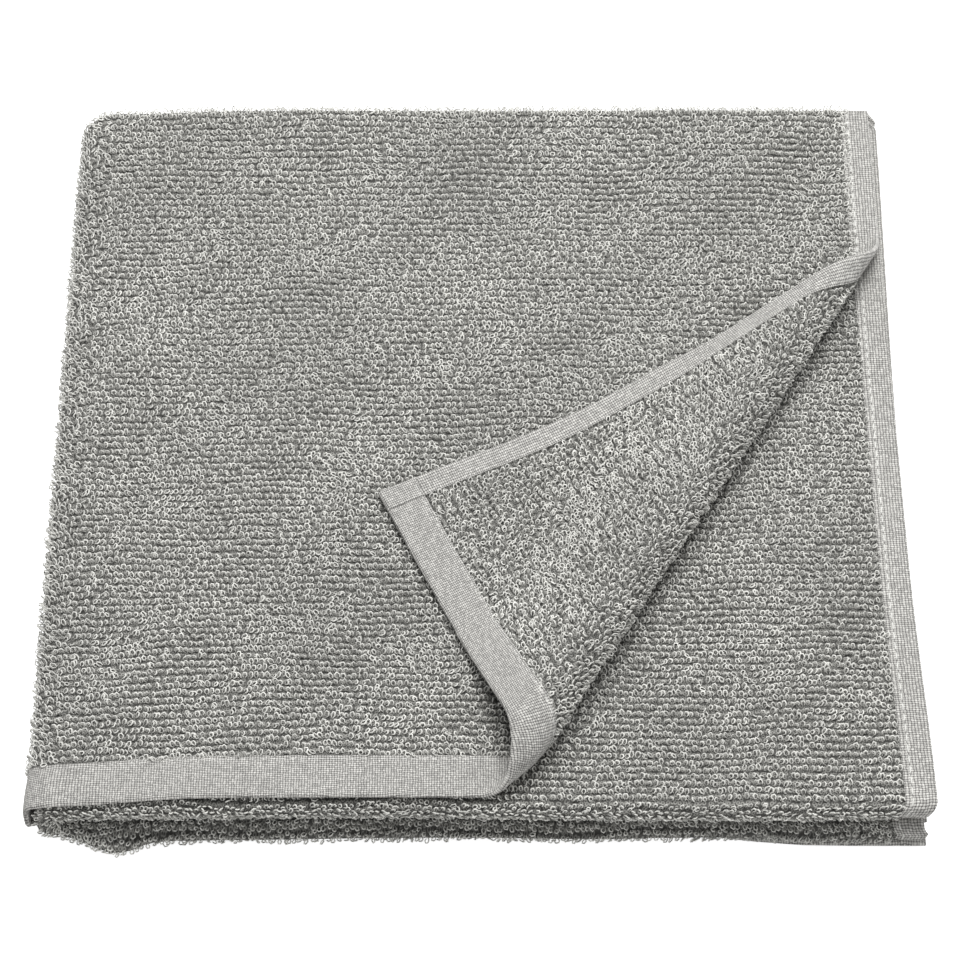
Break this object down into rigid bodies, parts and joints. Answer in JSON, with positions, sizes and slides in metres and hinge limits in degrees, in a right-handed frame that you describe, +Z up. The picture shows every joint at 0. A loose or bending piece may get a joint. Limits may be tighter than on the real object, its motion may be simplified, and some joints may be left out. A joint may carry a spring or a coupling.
{
  "type": "folded hand towel",
  "caption": "Plain terry hand towel folded into a square stack, with hemmed edges and one corner of the top layer turned back in a soft roll.",
  "frame": {"origin": "on the surface it lies on, under the middle of the folded stack", "axes": "+Z up through the layers, +X towards the stacked side hems, +Y towards the back folds, away from the end hem that shows"},
  "size_m": [0.2552, 0.2533, 0.0379],
  "materials": {
    "terry": "looped cotton pile, flat-woven hems, matt"
  },
  "bodies": {
    "root": {"towel": "terry"}
  },
  "joints": []
}
